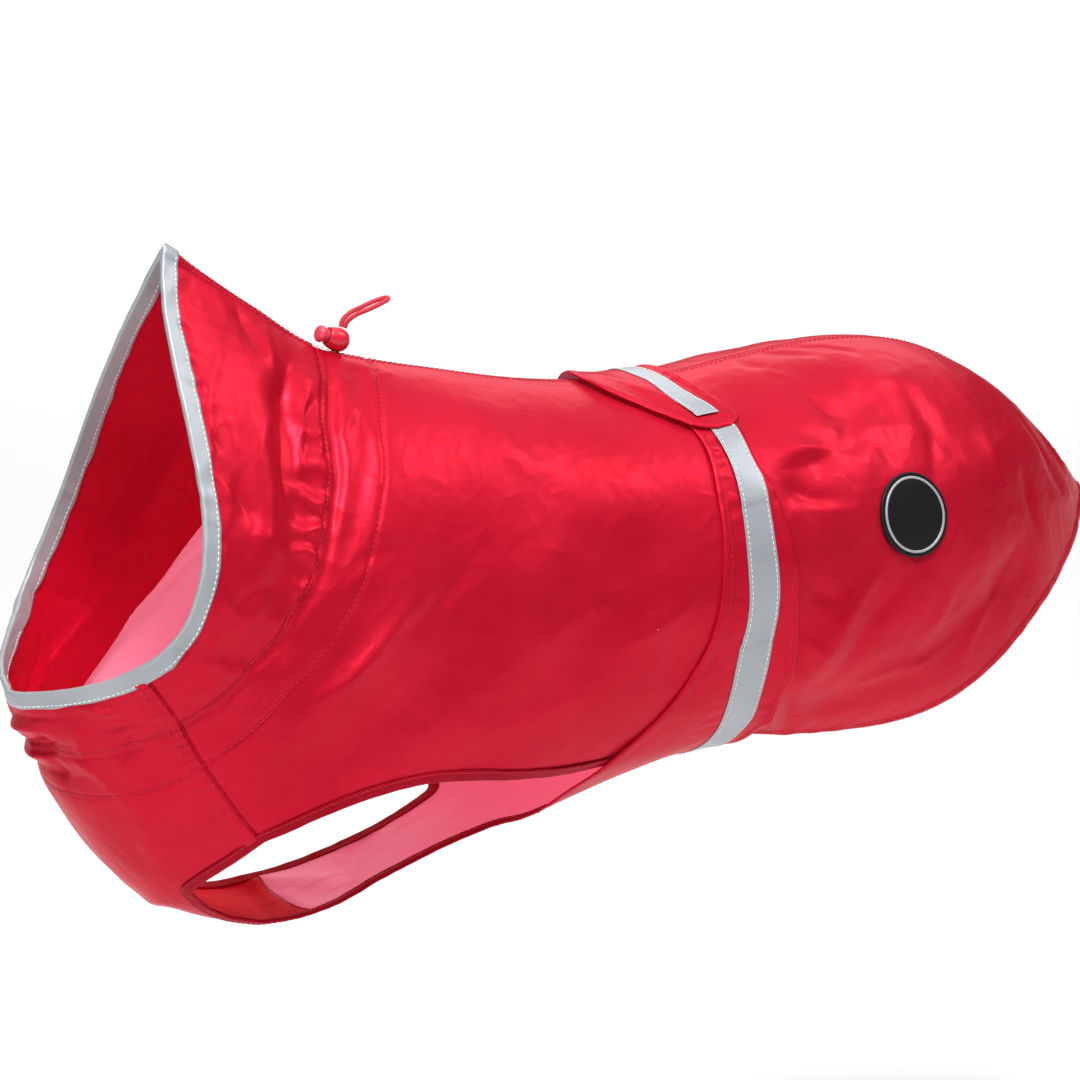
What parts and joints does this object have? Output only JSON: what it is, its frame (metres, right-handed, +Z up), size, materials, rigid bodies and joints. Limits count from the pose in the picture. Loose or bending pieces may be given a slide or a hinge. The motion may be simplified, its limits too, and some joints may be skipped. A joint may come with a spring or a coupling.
{
  "type": "dog raincoat",
  "caption": "Dog raincoat, filled out as worn: back panels over the rump, chest piece, belly strip widening into a belt that closes over the back, reflective collar binding and tape, cord lock.",
  "frame": {"origin": "inner face of the back at the withers, on the centre-back seam, where the wearer's back carries the coat", "axes": "+X along the back towards the tail, +Y to the wearer's right, +Z up"},
  "size_m": [0.6993, 0.2267, 0.3656],
  "materials": {
    "shell": "coated polyester, soft satin sheen",
    "lining": "smooth lining cloth",
    "binding": "folded cloth binding",
    "reflective": "silver-grey reflective tape",
    "rubber": "matt black",
    "lock": "satin",
    "cord": "woven elastic cord"
  },
  "bodies": {
    "coat": {"back_left": "shell", "back_right": "shell", "chest": "shell", "neck_lining": "lining", "belly_belt": "shell", "collar_binding": "reflective", "leg_binding_left": "binding", "leg_binding_right": "binding", "belt_tape": "reflective", "badge": "rubber", "cord_lock_barrel": "lock", "cord_loop": "cord"},
    "lock_plunger": {"cord_lock_plunger": "lock"}
  },
  "joints": [
    {"name": "plunger_press", "type": "slide", "parent": "coat", "child": "lock_plunger", "axis": [0.9272, 0, -0.3746], "range_m": [0, 0.003], "stiffness_N_per_m": 700}
  ]
}
